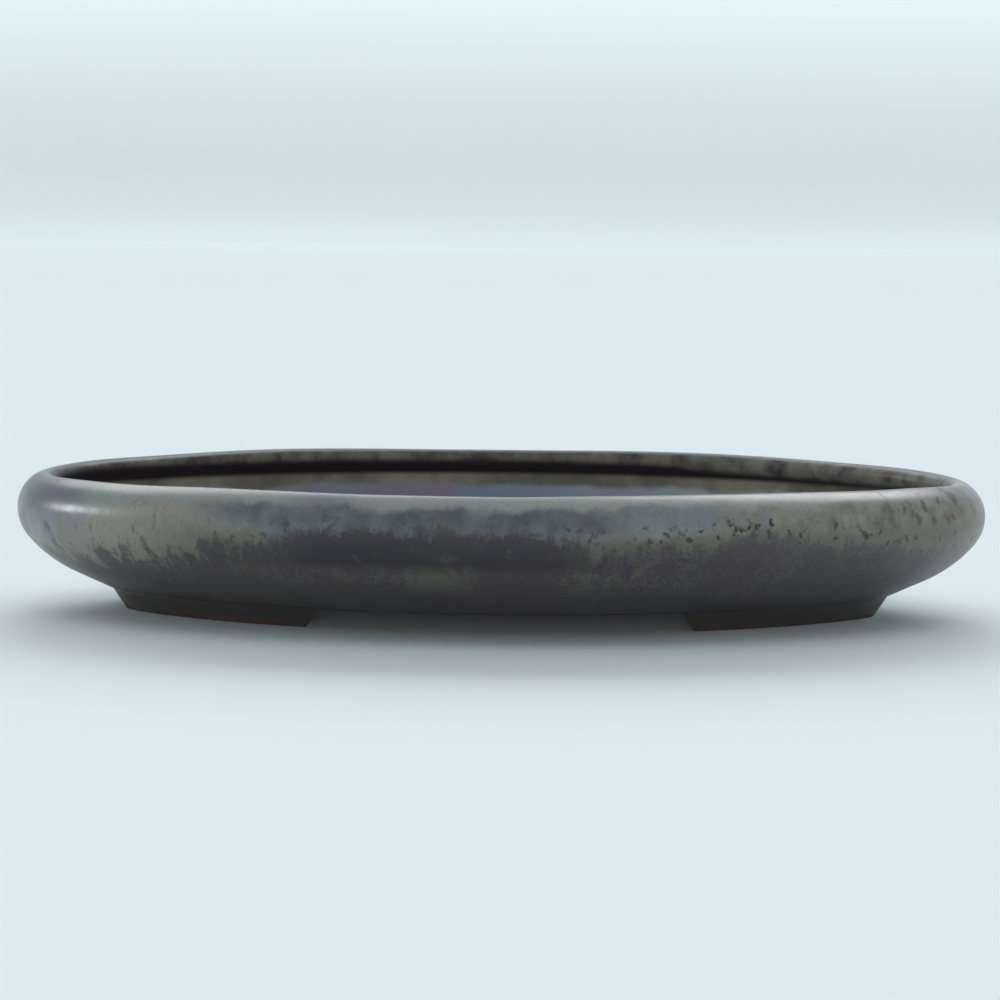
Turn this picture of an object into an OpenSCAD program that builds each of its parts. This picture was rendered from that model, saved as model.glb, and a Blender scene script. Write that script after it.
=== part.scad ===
// Shallow oval bonsai tray: a bulging wall ring with a rolled-in lip, an oval floor slab luted into it,
// four cut feet luted underneath, and a wired-down mesh screen over each drain hole.
// Origin on the ground under the middle of the tray, +X along its length, +Y to the back, +Z up.

/* [Outline] */
// Overall length, end to end, at the widest line of the wall
tray_length = 270; // [260:1:280]
// Overall width, front to back, at the widest line of the wall
tray_width = 205; // [200:1:212]
// Overall height, ground to the crest of the lip
tray_height = 37.8; // [37:0.1:39]

/* [Wall] */
// Thickness of the wall
wall_thickness = 6; // [5.5:0.1:6.5]
// Radius of the shoulder that rolls over into the lip
shoulder_radius = 10.8; // [10.2:0.1:11.4]
// Angle past the widest line at which the rolled-in lip ends
lip_angle = 60; // [54:1:70]
// Radius of the side just under the widest line
side_radius = 13.4; // [12.6:0.1:14]
// Radius of the long flank under the side
flank_radius = 35.2; // [34:0.1:37]
// Slope of the wall where the side turns into the flank, from the horizontal
side_slope = 50; // [47:1:53]
// Slope of the wall where the flank runs out towards the feet
flank_slope = 24.5; // [22:0.5:26]

/* [Floor] */
// Thickness of the floor
floor_thickness = 6; // [5:0.5:7]
// Radius of the cove between the floor and the wall
cove_radius = 15; // [8:1:16]
// Distance in from the widest line to the joint between wall ring and floor slab
floor_inset = 31; // [31:1:38]
// Width of the slip joint around the floor slab
slip_gap = 0.05; // [0.02:0.01:0.1]

/* [Holes] */
// Radius of each drain hole
drain_radius = 10; // [9.5:0.5:11]
// Distance of each drain hole from the middle of the tray
drain_offset = 58; // [50:1:64]
// Radius of each hole for a tie-down wire
wire_hole_radius = 2.25; // [1.5:0.25:3]
// Distance of the wire holes from the middle, along the length
wire_hole_x = 25; // [20:1:30]
// Distance of the wire holes from the middle, across the width
wire_hole_y = 14; // [10:1:30]

/* [Feet] */
// Height of the feet
foot_height = 5.3; // [4.5:0.1:7]
// How far a foot's outer face leans in from top to bottom
foot_lean = 2.9; // [2:0.1:5]
// Width of a foot at the ground, across the ring
foot_width = 8; // [6:0.5:9]
// Width of a foot where it is luted on
foot_root = 16; // [14:1:20]
// Half the gap between the two feet on a long side, at the ground
long_gap = 52; // [44:1:60]
// Half the gap between the two feet at an end, at the ground
end_gap = 15; // [10:1:20]
// How far the cut ends of a foot lean over its gap, from bottom to top
cut_lean = 3.3; // [1:0.1:5]

/* [Screens] */
// Cells along each side of a mesh screen
screen_cells = 11; // [9:2:11]
// Pitch of the screen's cells
screen_pitch = 3.4; // [3.2:0.1:3.6]
// Width of the screen's strands
strand_width = 0.9; // [0.7:0.1:1.1]
// Thickness of the screen
screen_thickness = 1.2; // [0.8:0.1:1.6]
// Thickness of the wire that clips a screen down
clip_wire = 1.5; // [1:0.1:1.6]
// Radius of the loops that press on the screen
clip_loop = 4.6; // [4.2:0.1:5]
// Length of each leg that is folded out under the floor
clip_tail = 13; // [10:1:16]

/* [Hidden] */
$fn = 180;
clearance = 0.05;     // between pieces that only rest on each other
past = 1;             // how far a cutter reaches beyond what it cuts

// The oval is four arcs, tangent where they meet: an end arc at each end, and a long arc front and back.
// The line through the centres of two neighbours has the slope of a 3-4-5 triangle.
joint_way = [0.8, 0.6];
half_length = tray_length / 2;
half_width = tray_width / 2;
end_radius = tray_width - half_length;
end_centre = half_length - end_radius;
long_centre = end_centre * joint_way[1] / joint_way[0];
long_radius = half_width + long_centre;

// Heights and the centres of the wall's arcs, as [outward, up] from the widest line.
floor_top = foot_height + floor_thickness;
lip_radius = wall_thickness / 2;
widest_height = tray_height - (shoulder_radius - lip_radius) * sin(lip_angle) - lip_radius;
shoulder_centre = [-shoulder_radius, widest_height];
side_centre = [-side_radius, widest_height];
flank_centre = side_centre
    + (side_radius - flank_radius) * [sin(side_slope), -cos(side_slope)];
lip_centre = shoulder_centre
    + (shoulder_radius - lip_radius) * [cos(lip_angle), sin(lip_angle)];

// Points along an arc, both ends included.
function arc(centre, radius, from, to, steps) =
    [for (i = [0:steps]) let (a = from + (to - from) * i / steps) centre + radius * [cos(a), sin(a)]];

// A list of points without the ones that repeat the next one, as where two arcs join.
function distinct(points) =
    [for (i = [0:len(points) - 1]) if (norm(points[i] - points[(i + 1) % len(points)]) > 0.001) points[i]];

// Where the flank, run out straight at its slope, reaches a height.
function flank_end(radius) = flank_centre + radius * [sin(flank_slope), -cos(flank_slope)];
function run_out(radius, height) =
    [flank_end(radius)[0] - (flank_end(radius)[1] - height) / tan(flank_slope), height];

foot_line = run_out(flank_radius, foot_height)[0];   // outer edge of the feet, where they meet the wall
cove_start = run_out(flank_radius - wall_thickness, floor_top + cove_radius * (1 - cos(flank_slope)));
cove_centre = [cove_start[0] - cove_radius * sin(flank_slope), floor_top + cove_radius];

// Section of the wall ring, with the flange that the floor slab and the feet are luted to.
wall_section = distinct(concat(
    arc(flank_centre, flank_radius, flank_slope - 90, side_slope - 90, 6),
    arc(side_centre, side_radius, side_slope - 90, 0, 6),
    arc(shoulder_centre, shoulder_radius, 0, lip_angle, 8),
    arc(lip_centre, lip_radius, lip_angle, lip_angle + 180, 12),
    arc(shoulder_centre, shoulder_radius - wall_thickness, lip_angle, 0, 5),
    arc(side_centre, side_radius - wall_thickness, 0, side_slope - 90, 5),
    arc(flank_centre, flank_radius - wall_thickness, side_slope - 90, flank_slope - 90, 5),
    arc(cove_centre, cove_radius, flank_slope - 90, -90, 4),
    [[-floor_inset, floor_top], [-floor_inset, foot_height], [foot_line, foot_height]]
));

foot_section = [
    [foot_line, foot_height],
    [foot_line - foot_root, foot_height],
    [foot_line - foot_lean - foot_width, 0],
    [foot_line - foot_lean, 0]
];

// Turns a section about an upright axis, at a radius, and keeps the sector between two directions.
module sector(section, radius, from, to) intersection() {
    rotate_extrude() translate([radius, 0]) polygon(section);
    translate([0, 0, -past]) linear_extrude(tray_height + 2 * past)
        polygon([[0, 0], 2 * tray_length * from, 2 * tray_length * to]);
}

// The section along the right end arc, and along the back long arc.
module end_arc(section, from = [joint_way[0], -joint_way[1]])
    translate([end_centre, 0]) sector(section, end_radius, from, joint_way);
module long_arc(section, to = [-joint_way[0], joint_way[1]])
    translate([0, -long_centre]) sector(section, long_radius, joint_way, to);

// Copies its children to both ends of the length, or of the width.
module both_ends() { children(); mirror([1, 0, 0]) children(); }
module both_sides() { children(); mirror([0, 1, 0]) children(); }

// A flat plate with the tray's outline, set in from the widest line.
module oval_plate(inset, height) {
    joint_x = end_centre + (end_radius - inset) * joint_way[0];
    intersection() {
        translate([0, -long_centre]) cylinder(r = long_radius - inset, h = height);
        translate([0, long_centre]) cylinder(r = long_radius - inset, h = height);
        translate([-joint_x, -half_width, 0]) cube([2 * joint_x, tray_width, height]);
    }
    both_ends() translate([end_centre, 0]) cylinder(r = end_radius - inset, h = height);
}

module tray_wall() color("darkolivegreen") {
    both_ends() end_arc(wall_section);
    both_sides() long_arc(wall_section);
}

module tray_floor() color("darkslategray")
    translate([0, 0, foot_height]) difference() {
        oval_plate(floor_inset + slip_gap, floor_thickness);
        both_ends() translate([drain_offset, 0, -past])
            cylinder(r = drain_radius, h = floor_thickness + 2 * past);
        both_ends() both_sides() translate([wire_hole_x, wire_hole_y, -past])
            cylinder(r = wire_hole_radius, h = floor_thickness + 2 * past);
    }

// A trapezium along Y that clears a gap: its sides lean in by cut_lean from the ground to the foot's top.
module gap_cutter(half_gap, reach) {
    lean = cut_lean / foot_height;
    rotate([90, 0, 0]) linear_extrude(reach)
        polygon([
            [-half_gap - lean * past, -past], [half_gap + lean * past, -past],
            [half_gap - cut_lean - lean * past, foot_height + past],
            [-half_gap + cut_lean + lean * past, foot_height + past]
        ]);
}

// The foot at the back right; the others are its mirror images.
module foot() difference() {
    union() {
        end_arc(foot_section, [1, 0]);
        long_arc(foot_section, [0, 1]);
    }
    translate([0, tray_width, 0]) gap_cutter(long_gap, tray_width);
    rotate(-90) translate([0, tray_length, 0]) gap_cutter(end_gap, tray_length);
}

module foot_back_right() color("saddlebrown") foot();
module foot_back_left() color("saddlebrown") mirror([1, 0, 0]) foot();
module foot_front_right() color("saddlebrown") mirror([0, 1, 0]) foot();
module foot_front_left() color("saddlebrown") rotate(180) foot();

// Square plastic mesh, centred on its drain hole and lying on the floor.
module screen() {
    side = screen_cells * screen_pitch + strand_width;
    cell = screen_pitch - strand_width;
    first = -(screen_cells - 1) / 2 * screen_pitch;
    translate([0, 0, floor_top + clearance]) linear_extrude(screen_thickness) difference() {
        square(side, center = true);
        for (i = [0:screen_cells - 1], j = [0:screen_cells - 1])
            translate([first + i * screen_pitch, first + j * screen_pitch]) square(cell, center = true);
    }
}

module drain_screen_left() color("black") translate([-drain_offset, 0]) screen();
module drain_screen_right() color("black") translate([drain_offset, 0]) screen();

// Centreline of half a clip: from the middle of the bar, round a loop on the screen, down through a cell
// and the drain hole, and out along the underside of the floor.
clip_bend = clip_wire;
clip_top = floor_top + 2 * clearance + screen_thickness + clip_wire / 2;
clip_under = foot_height - clearance - clip_wire / 2;
leg = [2 * screen_pitch, screen_pitch];
loop_x = leg[0] + clip_loop;

function flat_arc(centre, radius, from, to, steps, z) =
    [for (p = arc(centre, radius, from, to, steps)) [p[0], p[1], z]];

half_clip = concat(
    flat_arc([loop_x, clip_loop], clip_loop, -90, 180, 18, clip_top),
    [for (p = arc([leg[1] + clip_bend, clip_top - clip_bend], clip_bend, 90, 180, 5)) [leg[0], p[0], p[1]]],
    [for (p = arc([leg[0] + clip_bend, clip_under + clip_bend], clip_bend, 180, 270, 5)) [p[0], leg[1], p[1]]],
    [[leg[0] + clip_tail, leg[1], clip_under]]
);
turned_half = [for (i = [len(half_clip) - 1:-1:0]) [-half_clip[i][0], -half_clip[i][1], half_clip[i][2]]];
clip_path = concat(turned_half, half_clip);

// Sweeps a round wire along a path: one ring of points for each path point, with a frame carried along
// without twist, and a cap on each end.
wire_sides = 8;
function unit(v) = v / norm(v);
function heading(path, i) =
    unit(path[min(i + 1, len(path) - 1)] - path[max(i - 1, 0)]);
function carried(side, along) = unit(side - (side * along) * along);
function frames(path, i, side) =
    i == len(path) ? [] :
    let (along = heading(path, i), s = carried(side, along))
        concat([[path[i], s, cross(along, s)]], frames(path, i + 1, s));

module wire(path, thickness) {
    rings = frames(path, 0, [0, 1, 0.01]);
    last = len(rings) - 1;
    points = [for (f = rings, k = [0:wire_sides - 1])
        let (a = 360 * k / wire_sides) f[0] + thickness / 2 * (cos(a) * f[1] + sin(a) * f[2])];
    sides = [for (i = [0:last - 1], k = [0:wire_sides - 1])
        let (n = (k + 1) % wire_sides, a = i * wire_sides, b = a + wire_sides) [a + k, b + k, b + n, a + n]];
    caps = [[for (k = [0:wire_sides - 1]) k], [for (k = [wire_sides - 1:-1:0]) last * wire_sides + k]];
    polyhedron(points, concat(sides, caps));
}

module screen_clip_left() color("silver") translate([-drain_offset, 0]) wire(clip_path, clip_wire);
module screen_clip_right() color("silver") translate([drain_offset, 0]) wire(clip_path, clip_wire);

tray_wall();
tray_floor();
foot_front_left();
foot_front_right();
foot_back_left();
foot_back_right();
drain_screen_left();
drain_screen_right();
screen_clip_left();
screen_clip_right();
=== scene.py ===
"""Looks of a shallow oval bonsai tray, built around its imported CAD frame.

The wall ring, the floor slab and the four feet are rebuilt as smooth clay forms, with the unevenness of
hand work. A mottled glaze runs down over dark clay. A plastic mesh screen and a bent wire clip lie over
each drain hole. Lengths are in metres; MM turns millimetres into them.
"""

import math

import bmesh
import bpy
import numpy as np
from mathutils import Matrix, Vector, noise


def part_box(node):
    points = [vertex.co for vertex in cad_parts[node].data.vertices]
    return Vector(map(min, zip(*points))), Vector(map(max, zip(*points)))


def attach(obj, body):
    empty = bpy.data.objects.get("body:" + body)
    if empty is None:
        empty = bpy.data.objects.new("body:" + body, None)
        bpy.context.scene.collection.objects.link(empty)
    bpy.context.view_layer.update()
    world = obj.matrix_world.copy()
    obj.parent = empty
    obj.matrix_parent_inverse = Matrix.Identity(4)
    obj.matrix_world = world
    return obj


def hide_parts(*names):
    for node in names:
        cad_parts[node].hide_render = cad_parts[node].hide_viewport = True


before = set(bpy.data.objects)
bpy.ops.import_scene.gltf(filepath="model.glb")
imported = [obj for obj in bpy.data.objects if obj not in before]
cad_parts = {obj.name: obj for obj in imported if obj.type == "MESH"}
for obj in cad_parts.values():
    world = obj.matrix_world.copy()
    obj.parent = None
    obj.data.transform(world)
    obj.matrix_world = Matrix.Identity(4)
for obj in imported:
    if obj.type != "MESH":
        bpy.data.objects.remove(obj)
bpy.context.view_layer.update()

MM = 0.001

# ---------------------------------------------------------------- camera, which takes the picture's view

CAMERA_DISTANCE = 1400 * MM      # from the tray's middle, along the floor
CAMERA_HEIGHT = 135.18 * MM
CAMERA_SIDE = -0.365 * MM
FOCAL_LENGTH = 180.76            # in millimetres, as the sensor's width
SENSOR_WIDTH = 36
VIEW_PITCH = 4.294               # degrees below the horizon
VIEW_ROLL = 0.63                 # degrees, which lowers the tray's right end
VIEW_DEPTH = 30                  # metres, past the backdrop


def make_camera():
    camera = bpy.data.objects.new("camera", bpy.data.cameras.new("camera"))
    bpy.context.scene.collection.objects.link(camera)
    camera.data.lens = FOCAL_LENGTH
    camera.data.sensor_width = SENSOR_WIDTH
    camera.data.clip_end = VIEW_DEPTH
    camera.location = (CAMERA_SIDE, -CAMERA_DISTANCE, CAMERA_HEIGHT)
    camera.rotation_mode = "ZYX"
    camera.rotation_euler = (math.radians(90 - VIEW_PITCH), 0, math.radians(VIEW_ROLL))
    bpy.context.scene.camera = camera


make_camera()

# ---------------------------------------------------------------- the oval and the wall's section

_, wall_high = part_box("tray_wall")
_, floor_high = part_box("tray_floor")
_, foot_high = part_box("foot_back_right")
half_length = wall_high.x
half_width = wall_high.y
crest = wall_high.z
foot_top = foot_high.z
floor_top = floor_high.z

# Four tangent arcs: neighbours' centres lie on a line with the slope of a 3-4-5 triangle.
JOINT_ANGLE = math.atan2(3, 4)
end_radius = 2 * half_width - half_length
end_centre = half_length - end_radius
long_centre = end_centre * math.tan(JOINT_ANGLE)
long_radius = half_width + long_centre

WALL = 6 * MM                    # thickness, all round the section
LIP = WALL / 2                   # radius of the lip's rounded end
SHOULDER = 10.8 * MM             # radius above the widest line
LIP_ANGLE = 60                   # degrees of the shoulder's arc
SIDE = 13.4 * MM                 # radius just below the widest line
SIDE_SLOPE = 50                  # degrees above level where the side meets the flank
FLANK = 35.2 * MM                # radius of the flatter curve down to the foot
FLANK_SLOPE = 24.5               # degrees above level where the flank runs out straight
COVE = 15 * MM                   # radius inside, between wall and floor
floor_inset = half_length - floor_high.x         # from the widest line to the joint of ring and slab
widest = crest - (SHOULDER - LIP) * math.sin(math.radians(LIP_ANGLE)) - LIP      # the widest line's height


def on_circle(centre, radius, degrees):
    angle = math.radians(degrees)
    return np.array([centre[0] + radius * math.cos(angle), centre[1] + radius * math.sin(angle)])


def arc(centre, radius, start, end, spacing):
    """Points along an arc about as far apart as spacing, without the last one."""
    steps = max(2, round(abs(math.radians(end - start)) * radius / spacing))
    return [on_circle(centre, radius, start + (end - start) * i / steps) for i in range(steps)]


def line(start, end, spacing):
    """Points along a line about as far apart as spacing, without the last one."""
    steps = max(1, round(math.dist(start, end) / spacing))
    return [np.array(start) + (np.array(end) - np.array(start)) * i / steps for i in range(steps)]


shoulder_centre = np.array([-SHOULDER, widest])
side_centre = np.array([-SIDE, widest])
flank_centre = on_circle(side_centre, SIDE - FLANK, SIDE_SLOPE - 90)
lip_centre = on_circle(shoulder_centre, SHOULDER - LIP, LIP_ANGLE)


def run_out(radius, height):
    """Where the flank, run out straight at its slope, reaches a height."""
    end = on_circle(flank_centre, radius, FLANK_SLOPE - 90)
    return np.array([end[0] - (end[1] - height) / math.tan(math.radians(FLANK_SLOPE)), height])


foot_line = run_out(FLANK, foot_top)


def wall_section(spacing=0.8 * MM):
    """The ring's section as (outward, up) points, anticlockwise from the corner under the slab joint."""
    outer_end = on_circle(flank_centre, FLANK, FLANK_SLOPE - 90)
    inner_end = on_circle(flank_centre, FLANK - WALL, FLANK_SLOPE - 90)
    cove_height = floor_top + COVE * (1 - math.cos(math.radians(FLANK_SLOPE)))
    cove_start = run_out(FLANK - WALL, cove_height)
    cove_centre = (cove_start[0] - COVE * math.sin(math.radians(FLANK_SLOPE)), floor_top + COVE)
    points = line((-floor_inset, foot_top), foot_line, spacing)
    points += line(foot_line, outer_end, spacing)
    points += arc(flank_centre, FLANK, FLANK_SLOPE - 90, SIDE_SLOPE - 90, spacing)
    points += arc(side_centre, SIDE, SIDE_SLOPE - 90, 0, spacing)
    points += arc(shoulder_centre, SHOULDER, 0, LIP_ANGLE, spacing)
    points += arc(lip_centre, LIP, LIP_ANGLE, LIP_ANGLE + 180, spacing / 2)
    points += arc(shoulder_centre, SHOULDER - WALL, LIP_ANGLE, 0, spacing / 2)
    points += arc(side_centre, SIDE - WALL, 0, SIDE_SLOPE - 90, spacing)
    points += arc(flank_centre, FLANK - WALL, SIDE_SLOPE - 90, FLANK_SLOPE - 90, spacing)
    points += line(inner_end, cove_start, spacing)
    points += arc(cove_centre, COVE, FLANK_SLOPE - 90, -90, spacing)
    points += line((cove_centre[0], floor_top), (-floor_inset, floor_top), spacing)
    points += line((-floor_inset, floor_top), (-floor_inset, foot_top), WALL / 3)
    return points


def oval_columns(spacing):
    """Columns round the oval, anticlockwise from the right, each as (centre, direction, radius).

    The radius is that of the widest line.
    """
    joint = JOINT_ANGLE
    arcs = [
        ((end_centre, 0), end_radius, -joint, joint),
        ((0, -long_centre), long_radius, joint, math.pi - joint),
        ((-end_centre, 0), end_radius, math.pi - joint, math.pi + joint),
        ((0, long_centre), long_radius, math.pi + joint, 2 * math.pi - joint),
    ]
    columns = []
    for centre, radius, start, end in arcs:
        steps = round((end - start) * radius / spacing)
        for i in range(steps):
            angle = start + (end - start) * i / steps
            columns.append((centre, (math.cos(angle), math.sin(angle)), radius))
    return columns


def place(column, outward, up):
    """The point of a section, given as (outward, up), in one column of the oval."""
    centre, way, radius = column
    reach = radius + outward
    return Vector((centre[0] + way[0] * reach, centre[1] + way[1] * reach, up))


# ---------------------------------------------------------------- unevenness of hand work

RIM_WAVE = 0.25 * MM             # of the rim, up and down
RIM_WAVES = 14                   # how many of them there are in a metre
RIM_SHIFT = Vector((3.1, 0, 0.4))                # picks which stretch of noise they follow
SIDE_WAVE = 0.3 * MM             # of the wall, in and out
SIDE_WAVES = 22
SIDE_SHIFT = Vector((0, 7.7, 0))

CREASE_DEPTH = 0.45 * MM         # of an upright crease in the front wall
CREASE_TURN = 0.3965
CREASE_REACH = 0.006             # of a turn to each side
CREASE_MIDDLE = 27 * MM          # height
CREASE_HALF = 9 * MM             # from its middle up or down to its end

KNOT_HEIGHT = 0.35 * MM          # of a small lump on the rim at the left end
KNOT_TURN = 0.262
KNOT_REACH = 0.012
KNOT_BOTTOM = 30 * MM            # height at which it begins


def smooth_step(value, low, high):
    t = min(1.0, max(0.0, (value - low) / (high - low)))
    return t * t * (3 - 2 * t)


def hump(value, middle, reach):
    """1 at the middle, falling smoothly to 0 at reach away from it."""
    t = min(1.0, abs(value - middle) / reach)
    return (1 - t * t) ** 2


def turn_of(point):
    """Direction from the tray's middle: 0 at the back, 0.25 at the left, 0.5 in front, 0.75 at the right."""
    return 0.5 + math.atan2(point.x, -point.y) / (2 * math.pi)


# Slow rises and dips of the rim, each as (turn, reach of the turn, height).
RIM_SHAPE = [(0.0, 0.09, 0.2 * MM), (0.10, 0.08, 0.5 * MM), (0.18, 0.07, -0.15 * MM), (0.25, 0.06, -0.8 * MM),
             (0.32, 0.06, -0.4 * MM), (0.38, 0.06, 0.3 * MM), (0.44, 0.06, 0.15 * MM), (0.5, 0.06, 0.25 * MM),
             (0.56, 0.06, 0.6 * MM), (0.62, 0.06, 0.6 * MM), (0.68, 0.06, 0.05 * MM), (0.75, 0.07, -1.0 * MM),
             (0.82, 0.07, -0.1 * MM), (0.9, 0.09, 0.6 * MM), (1.0, 0.09, 0.2 * MM)]


def settle(point):
    """The point where shaping, drying and firing have moved it: the rim most, the foot not at all."""
    height = smooth_step(point.z, floor_top, crest)
    turn = turn_of(point)
    flat = Vector((point.x, point.y, 0))
    sway = noise.noise(flat * RIM_WAVES + RIM_SHIFT)
    swell = noise.noise(point * SIDE_WAVES + SIDE_SHIFT)
    rise = sum(size * hump(turn, middle, reach) for middle, reach, size in RIM_SHAPE)
    crease = CREASE_DEPTH * hump(turn, CREASE_TURN, CREASE_REACH) * hump(point.z, CREASE_MIDDLE, CREASE_HALF)
    knot = KNOT_HEIGHT * hump(turn, KNOT_TURN, KNOT_REACH) * smooth_step(point.z, KNOT_BOTTOM, crest)
    moved = point + flat.normalized() * (SIDE_WAVE * swell * height - crease)
    moved.z += height * (RIM_WAVE * sway + rise) + knot
    return moved


# ---------------------------------------------------------------- meshes

def add_piece(name, mesh, material):
    mesh.materials.append(material)
    piece = bpy.data.objects.new(name, mesh)
    bpy.context.scene.collection.objects.link(piece)
    return piece


def add_mesh(name, vertices, faces, material):
    mesh = bpy.data.meshes.new(name)
    mesh.from_pydata([tuple(v) for v in vertices], [], faces)
    mesh.validate()
    mesh.shade_smooth()
    return add_piece(name, mesh, material)


def add_work(name, work, material):
    """A piece made from a finished bmesh, which is freed."""
    mesh = bpy.data.meshes.new(name)
    work.to_mesh(mesh)
    work.free()
    return add_piece(name, mesh, material)


def add_attribute(piece, name, values):
    attribute = piece.data.attributes.new(name, "FLOAT", "POINT")
    attribute.data.foreach_set("value", np.array(values, np.float32))


def finish_piece(piece, slot, *nodes):
    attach(piece, "root")
    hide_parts(*nodes)


def tube_faces(columns, rows, closed_columns=True):
    """Quads of a grid whose rows close on themselves; vertex numbers run along each column's rows."""
    last = columns if closed_columns else columns - 1
    return [
        (i * rows + j, (i + 1) % columns * rows + j,
         (i + 1) % columns * rows + (j + 1) % rows, i * rows + (j + 1) % rows)
        for i in range(last) for j in range(rows)
    ]


INSIDE_EDGE = 17.5 * MM          # height at which the glaze ends inside the bowl
EDGE_BELOW = 0.4                 # millimetres that the glaze runs on past the foot line, underneath
GLAZED = 20.0                    # the margin of a point well inside the glaze
BARE = -3.0                      # and of one well outside it


def glaze_margin(outward, up, inside):
    """Distance in millimetres from the glaze's edge, positive where there is glaze."""
    if inside:
        return (up - INSIDE_EDGE) / MM
    if up < widest:
        return (outward - foot_line[0]) / MM + EDGE_BELOW
    return GLAZED


def add_flow(piece, values):
    """Where each point lies for the glaze: x and y of its column at the widest line, then its run."""
    attribute = piece.data.attributes.new("flow", "FLOAT_VECTOR", "POINT")
    attribute.data.foreach_set("vector", np.array(values, np.float32).ravel())


WALL_SPACING = 1 * MM            # between columns
SHARP_CORNER = 50                # degrees; the ring turns as sharply only where the slab joins it


def make_wall(material):
    section = wall_section()
    columns = oval_columns(WALL_SPACING)
    crest_index = max(range(len(section)), key=lambda k: section[k][1])
    steps = [math.dist(a, b) for a, b in zip(section, section[1:])]
    runs = [sum(steps[k:crest_index]) - sum(steps[crest_index:k]) for k in range(len(section))]
    vertices, margins, flows = [], [], []
    for column in columns:
        edge = place(column, 0, 0)
        for k, (outward, up) in enumerate(section):
            vertices.append(settle(place(column, outward, up)))
            margins.append(glaze_margin(outward, up, k > crest_index))
            flows.append((edge.x, edge.y, runs[k]))
    piece = add_mesh("wall_ring", vertices, tube_faces(len(columns), len(section)), material)
    add_attribute(piece, "glaze_margin", margins)
    add_flow(piece, flows)
    piece.data.set_sharp_from_angle(angle=math.radians(SHARP_CORNER))
    finish_piece(piece, "glaze", "tray_wall")


FOOT_LEAN = 2.9 * MM             # of the outer face, from top to ground
FOOT_WIDTH = 8 * MM              # at the ground
FOOT_ROOT = 16 * MM              # where it is luted on
LONG_GAP = 52 * MM               # half the gap on a long side, at the ground
END_GAP = 15 * MM                # half the gap at an end, at the ground
CUT_LEAN = 3.3 * MM              # of the cut ends, from ground to top
FOOT_ROUND = 0.9 * MM            # of the foot's lower edges
CLAY_LINE = 0.7 * MM             # of bare clay above the ground
FOOT_STEPS = 90                  # along a foot
FOOT_HANDOVER = 0.45             # share of a foot that follows the end arc; the rest follows the long arc
FOOT_WAVE = 0.25 * MM            # of its outer face, in and out
FOOT_WAVES = 60                  # per metre
FOOT_EDGE = 2 * MM               # over which the waves of the outer face die out underneath
FOOT_CORNER = 35                 # degrees; edges that turn by more are rounded
FOOT_RUN = 60 * MM               # run of the glaze from the crest down to the ground


def foot_section():
    """The foot's section as (outward, up) points, closest on its outer face; round_edges rounds it."""
    outer_top = (foot_line[0], foot_top)
    outer_low = (foot_line[0] - FOOT_LEAN, 0)
    inner_low = (foot_line[0] - FOOT_LEAN - FOOT_WIDTH, 0)
    inner_top = (foot_line[0] - FOOT_ROOT, foot_top)
    points = line(inner_top, inner_low, 0.7 * MM)
    points += line(inner_low, outer_low, 0.8 * MM)
    points += line(outer_low, outer_top, 0.5 * MM)
    points += line(outer_top, inner_top, 1.5 * MM)
    return points


def foot_point(outward, up, share):
    """A point of the back right foot: share runs from its end cut, 0, to its long cut, 1."""
    lean = CUT_LEAN * up / foot_top
    from_angle = math.asin((END_GAP - lean) / (end_radius + outward))
    to_angle = math.acos((LONG_GAP - lean) / (long_radius + outward))
    if share < FOOT_HANDOVER:
        angle = from_angle + (JOINT_ANGLE - from_angle) * share / FOOT_HANDOVER
        column = ((end_centre, 0), (math.cos(angle), math.sin(angle)), end_radius)
    else:
        angle = JOINT_ANGLE + (to_angle - JOINT_ANGLE) * (share - FOOT_HANDOVER) / (1 - FOOT_HANDOVER)
        column = ((0, -long_centre), (math.cos(angle), math.sin(angle)), long_radius)
    return place(column, outward, up)


def make_foot(name, x_side, y_side, material):
    section = foot_section()
    outer_edge = foot_line[0] - FOOT_LEAN
    vertices = []
    margins = []
    for i in range(FOOT_STEPS + 1):
        for outward, up in section:
            point = foot_point(outward, up, i / FOOT_STEPS)
            sway = noise.noise(Vector((point.x * x_side, point.y * y_side, up)) * FOOT_WAVES)
            outer = smooth_step(outward, outer_edge - FOOT_EDGE, outer_edge)
            point = point + Vector((point.x, point.y, 0)).normalized() * (FOOT_WAVE * sway * outer)
            vertices.append(Vector((point.x * x_side, point.y * y_side, point.z)))
            margins.append((up - CLAY_LINE) / MM if outer > 0.5 else BARE)
    rows = len(section)
    faces = tube_faces(FOOT_STEPS + 1, rows, closed_columns=False)
    faces.append(tuple(range(rows - 1, -1, -1)))
    faces.append(tuple(FOOT_STEPS * rows + j for j in range(rows)))
    if x_side * y_side < 0:
        faces = [tuple(reversed(face)) for face in faces]
    piece = add_mesh(name, vertices, faces, material)
    add_attribute(piece, "glaze_margin", margins)
    add_flow(piece, [(v.x, v.y, FOOT_RUN - v.z) for v in vertices])
    round_edges(piece, FOOT_ROUND, FOOT_CORNER)
    finish_piece(piece, "glaze", name.replace("clay_", ""))


def round_edges(piece, radius, sharp_angle):
    """Rounds the mesh's edges that turn by more than sharp_angle degrees."""
    work = bmesh.new()
    work.from_mesh(piece.data)
    bmesh.ops.recalc_face_normals(work, faces=work.faces)
    edges = [e for e in work.edges if len(e.link_faces) == 2
             and math.degrees(e.calc_face_angle(0)) > sharp_angle]
    bmesh.ops.bevel(work, geom=edges, offset=radius, segments=4, profile=0.5, affect="EDGES",
                    clamp_overlap=True)
    bmesh.ops.recalc_face_normals(work, faces=work.faces)
    work.to_mesh(piece.data)
    work.free()
    piece.data.shade_smooth()


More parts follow.
